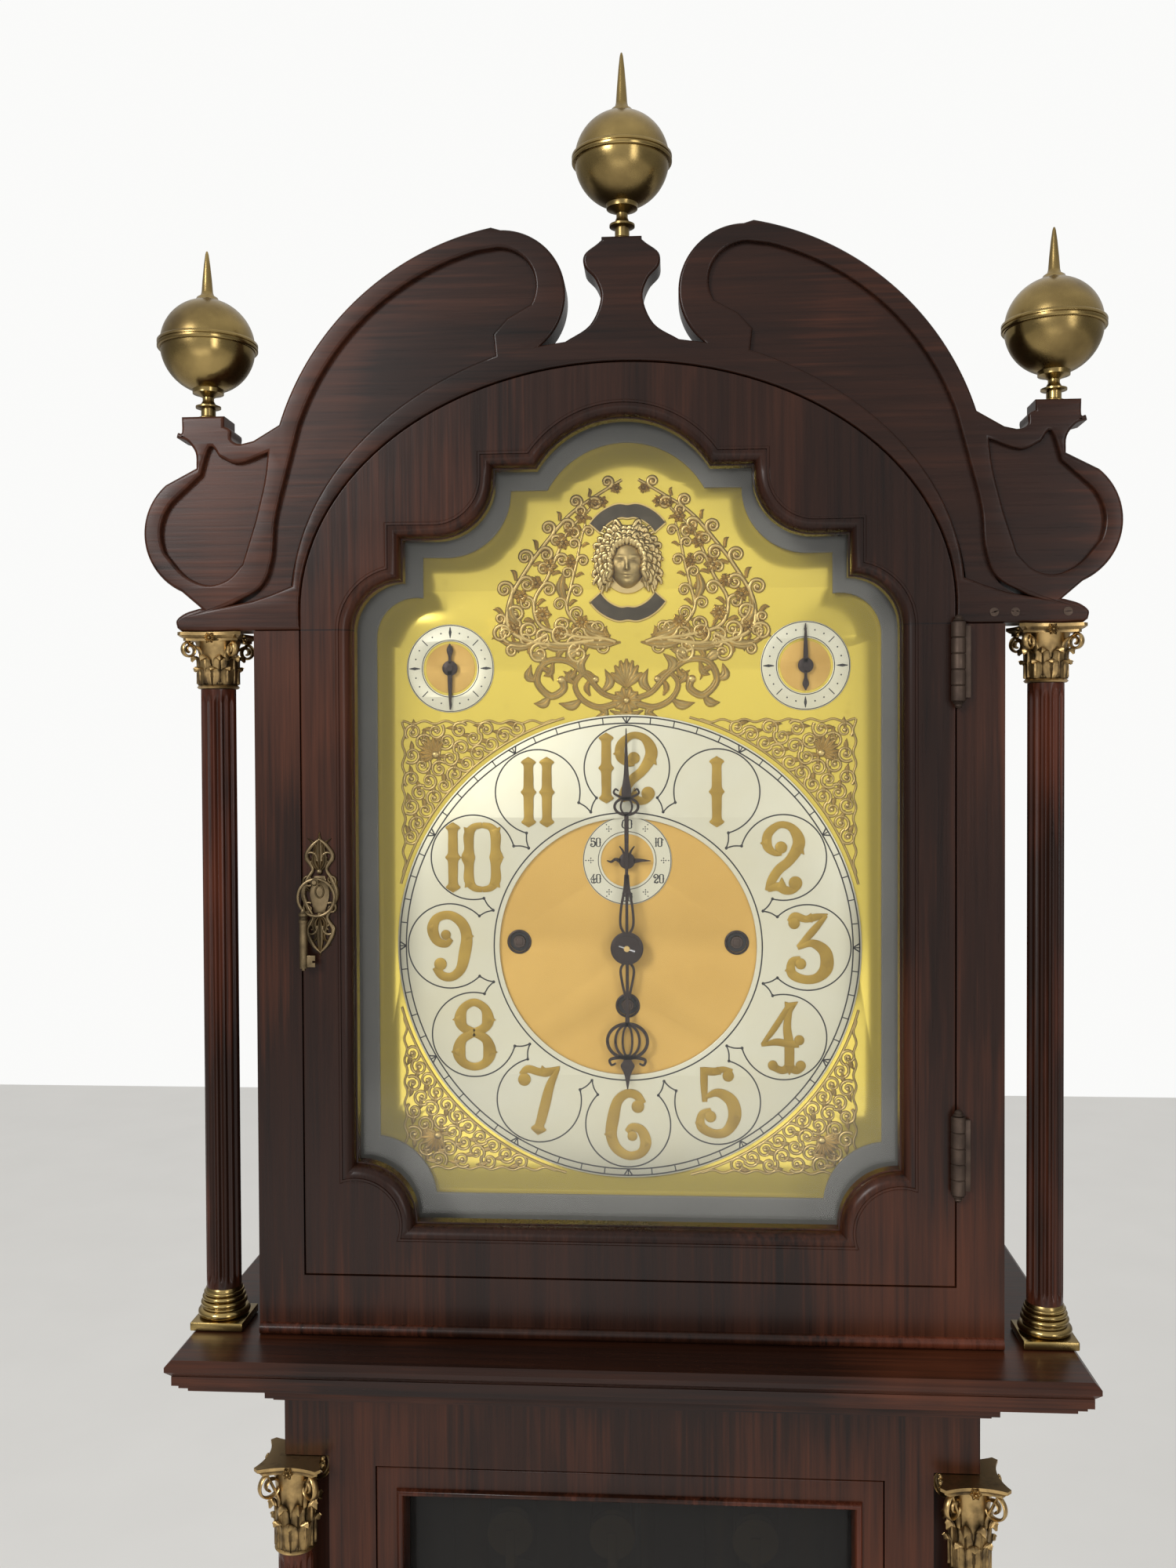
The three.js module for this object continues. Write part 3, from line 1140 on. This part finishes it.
// The escape wheel's teeth lean forward, with a straight face and a sloping back.
function escapeWheel() {
  const phase = meshPhase(ESCAPE_LEAVES, THIRD_TEETH, -THIRD_X, SECONDS_RISE - THIRD_RISE);
  const root = ESCAPE_RADIUS - ESCAPE_DEPTH;
  const outline = [];
  for (let i = 0; i < ESCAPE_TEETH; i += 1) {
    const tip = (2 * Math.PI * i) / ESCAPE_TEETH;
    const foot = (2 * Math.PI * (i + ESCAPE_LEAN_SHARE)) / ESCAPE_TEETH;
    outline.push([ESCAPE_RADIUS * Math.cos(tip), ESCAPE_RADIUS * Math.sin(tip)]);
    outline.push([root * Math.cos(foot), root * Math.sin(foot)]);
  }
  const front = FRONT_PLATE + ESCAPE_PLANE;
  const made = join(
    pinion(ESCAPE_LEAVES, THIRD_MODULE, THIRD_PLANE, WHEEL_THICKNESS, phase),
    slab(outline, front, front + ESCAPE_THICKNESS),
    barY(0, 0, ARBOR, DIAL_FRONT - SECONDS_PLANE - FIT, BACK_PLATE - FIT),
  );
  return made.translate(0, 0, DIAL_Z + SECONDS_RISE);
}

// Pallets, arbor, crutch and fork in one.
function anchor() {
  const front = FRONT_PLATE + ESCAPE_PLANE - PALLET_OVERHANG;
  const outline = placed(PALLET_SHARES, 0, PALLET_REACH, 0, PALLET_RISE - SECONDS_RISE);
  const crutchFront = PENDULUM_Y - CRUTCH_LEAD;
  const crutchBack = crutchFront + CRUTCH_THICKNESS;
  const fork = cut(
    box(-FORK_HALF, FORK_HALF, crutchFront, PENDULUM_Y + FORK_REACH, -CRUTCH - FORK_HEIGHT, -CRUTCH + WELD),
    box(
      -ROD_RADIUS - RUNNING, ROD_RADIUS + RUNNING, PENDULUM_Y - FORK_REACH, PENDULUM_Y + FORK_REACH + OVERRUN,
      -CRUTCH - FORK_HEIGHT - OVERRUN, -CRUTCH + OVERRUN,
    ),
  );
  const made = join(
    slab(mirrored(outline), front, front + ESCAPE_THICKNESS + 2 * PALLET_OVERHANG),
    barY(0, 0, ARBOR, FRONT_PLATE + PLATE + FIT, crutchBack),
    box(-CRUTCH_HALF, CRUTCH_HALF, crutchFront, crutchBack, -CRUTCH, ARBOR),
    fork,
  );
  return made.translate(0, 0, DIAL_Z + PALLET_RISE);
}

function pendulumRod() {
  const pivot = DIAL_Z + PALLET_RISE;
  const y0 = PENDULUM_Y - SPRING_THICKNESS / 2;
  const rodFoot = pivot - PENDULUM_LENGTH - BOB_RADIUS - ROD_BELOW_BOB;
  const springTop = pivot + COCK_RISE - RUNNING;
  return join(
    box(-SPRING_HALF, SPRING_HALF, y0, y0 + SPRING_THICKNESS, pivot - SPRING_DROP - WELD, springTop),
    barZ(0, PENDULUM_Y, ROD_RADIUS, rodFoot, pivot - SPRING_DROP),
  );
}

function pendulumBob() {
  const z = DIAL_Z + PALLET_RISE - PENDULUM_LENGTH;
  const half = BOB_THICKNESS / 2;
  const face = BOB_SHARES.map(([out, deep]) => [BOB_RADIUS * out, half * deep]);
  const front = face.map(([r, deep]) => [r, -deep]);
  const lens = turned([[0, -half], ...front, ...face.reverse(), [0, half]], 24);
  const foot = z - BOB_RADIUS;
  return cut(
    join(
      lens.rotateX(Math.PI / 2).translate(0, PENDULUM_Y, z),
      barZ(0, PENDULUM_Y, NUT_RADIUS, foot - NUT_HEIGHT, foot + NUT_LAP),
    ),
    barZ(0, PENDULUM_Y, ROD_RADIUS + FIT, foot - NUT_HEIGHT - OVERRUN, z + BOB_RADIUS + OVERRUN),
  );
}

// A brass weight with the pulley that it hangs from.
function weight(line) {
  const x = line.fall + line.toPulley * PULLEY_BEND;
  const z0 = WEIGHT_TOP - WEIGHT_LENGTH;
  const z = WEIGHT_TOP + PULLEY_RISE;
  const r = WEIGHT_RADIUS;
  const body = turned([
    [0, z0], [r - WEIGHT_CHAMFER, z0], [r, z0 + WEIGHT_CHAMFER], [r, WEIGHT_TOP - WEIGHT_CHAMFER],
    [r - WEIGHT_CHAMFER, WEIGHT_TOP], [HOOK_COLLAR, WEIGHT_TOP + WEIGHT_CAP / 2],
    [HOOK_RADIUS, WEIGHT_TOP + WEIGHT_CAP], [HOOK_RADIUS, z], [0, z],
  ], 18);
  const pulleyFront = LINE_Y - PULLEY_THICKNESS / 2;
  const pulleyBack = LINE_Y + PULLEY_THICKNESS / 2;
  const strap = box(
    x - HOOK_RADIUS, x + HOOK_RADIUS,
    pulleyBack - WELD, LINE_Y + STIRRUP,
    WEIGHT_TOP + WEIGHT_CAP, z + HOOK_RADIUS,
  );
  const pulley = barY(x, z, PULLEY_RADIUS, pulleyFront, pulleyBack, 18);
  return join(body.translate(x, LINE_Y + STIRRUP, 0), pulley, strap);
}

// The line from the drum, under the pulley and back up to the seatboard.
function weightLine(line) {
  const x = line.fall + line.toPulley * PULLEY_BEND;
  const z = WEIGHT_TOP + PULLEY_RISE;
  const drumTop = DIAL_Z + line.rise;
  const seat = DIAL_Z - SEAT_DROP - SEATBOARD - FIT;
  const route = arc(0, 0, PULLEY_BEND, 180, 360, 8).map(([a, b]) => new THREE.Vector3(a, 0, b));
  const section = shapeOf(arc(0, 0, LINE_RADIUS * LINE_BEND_SHARE, 0, 300, 5));
  const extrudePath = new THREE.CatmullRomCurve3(route);
  const bend = new THREE.ExtrudeGeometry(section, { steps: 8, bevelEnabled: false, extrudePath });
  return join(
    barZ(line.fall, LINE_Y, LINE_RADIUS, z - WELD, drumTop, 6),
    barZ(x + line.toPulley * PULLEY_BEND, LINE_Y, LINE_RADIUS, z - WELD, seat, 6),
    bend.translate(x, LINE_Y, z),
  );
}

function chimeTube(index) {
  const x = (index - (TUBE_COUNT - 1) / 2) * TUBE_PITCH;
  const z1 = TUBE_TOP - FIT;
  const z0 = z1 - TUBE_LENGTH + index * TUBE_STEP;
  const bore = barZ(x, TUBE_Y, TUBE_RADIUS - TUBE_WALL, z0 - OVERRUN, z1 - TUBE_WALL);
  return cut(barZ(x, TUBE_Y, TUBE_RADIUS, z0, z1), bore);
}

function tubeRail() {
  const back = BACK - BOARD - FIT;
  return box(-RAIL_HALF, RAIL_HALF, TUBE_Y - TUBE_RADIUS, back, TUBE_TOP, TUBE_TOP + RAIL_HEIGHT);
}

piece("backboard", backboard(), "softwood");
piece("trunk_side_left", trunkSide(-1), "mahogany");
piece("trunk_side_right", trunkSide(1), "mahogany");
piece("trunk_front_frame", trunkFrontFrame(), "mahogany");
piece("trunk_column_left", trunkColumn(-1), "mahogany");
piece("trunk_column_right", trunkColumn(1), "mahogany");
piece("throat_moulding", throatMoulding(), "mahogany");
piece("waist_moulding", waistMoulding(), "mahogany");
piece("base_case", baseCase(), "mahogany");
piece("plinth", plinth(), "mahogany");
piece("seatboard", seatboard(), "softwood");
piece("movement_front_plate", frontPlate(), "brass");
piece("movement_back_plate", backPlate(), "brass");
piece("dial_plate", dialPlate(), "dialBrass");
piece("chapter_ring", chapterRing(), "silvered");
piece("tube_rail", tubeRail(), "darkWood");
for (let i = 0; i < TUBE_COUNT; i += 1) {
  piece(`chime_tube_${i + 1}`, chimeTube(i), "brass");
}
piece("going_barrel", goingBarrel(), "brass");
piece("strike_barrel", join(...drum(LINES[1])), "brass");
piece("chime_barrel", join(...drum(LINES[2])), "brass");
piece("centre_wheel", centreWheel(), "brass");
piece("third_wheel", thirdWheel(), "brass");
piece("escape_wheel", escapeWheel(), "brass");
piece("anchor", anchor(), "brightSteel");
piece("pendulum_rod", pendulumRod(), "brightSteel");
piece("pendulum_bob", pendulumBob(), "brass");
piece("minute_hand", minuteHand(), "steel");
piece("hour_hand", hourHand(), "steel");
piece("seconds_hand", secondsHand(), "steel");
piece("strike_pointer", pointer(-1, 180), "steel");
piece("chime_pointer", pointer(1, 0), "steel");
for (const line of LINES) {
  piece(`${line.name}_weight`, weight(line), "brass");
  piece(`${line.name}_line`, weightLine(line), "softwood");
}
piece("hood_case", hoodCase(), "mahogany");
piece("hood_base_frame", hoodBaseFrame(), "mahogany");
piece("hood_front_frame", hoodFrontFrame(), "mahogany");
piece("hood_pediment", hoodPediment(), "mahogany");
piece("hood_column_left", hoodColumn(-1), "mahogany");
piece("hood_column_right", hoodColumn(1), "mahogany");
piece("hood_capital_left", hoodCapital(-1), "brass");
piece("hood_capital_right", hoodCapital(1), "brass");
piece("finial_centre", finial(0, PEDESTAL_TOP + FIT, CENTRE_BALL, CENTRE_TIP), "brass");
piece("finial_left", finial(-EAR_PLINTH_X, EAR_TOP + FIT, SIDE_BALL, SIDE_TIP), "brass");
piece("finial_right", finial(EAR_PLINTH_X, EAR_TOP + FIT, SIDE_BALL, SIDE_TIP), "brass");
piece("dial_mask", dialMask(), "maskGrey");
piece("hood_door_frame", hoodDoorFrame(), "mahogany");
piece("hood_door_glass", hoodDoorGlass(), "glass");
piece("hood_hinge_upper", hinge(HINGE_UPPER), "steel");
piece("hood_hinge_lower", hinge(HINGE_LOWER), "steel");
piece("door_key", doorKey(), "brass");
piece("trunk_door_frame", trunkDoorFrame(), "mahogany");
piece("trunk_door_glass", trunkDoorGlass(), "glass");

export default group;
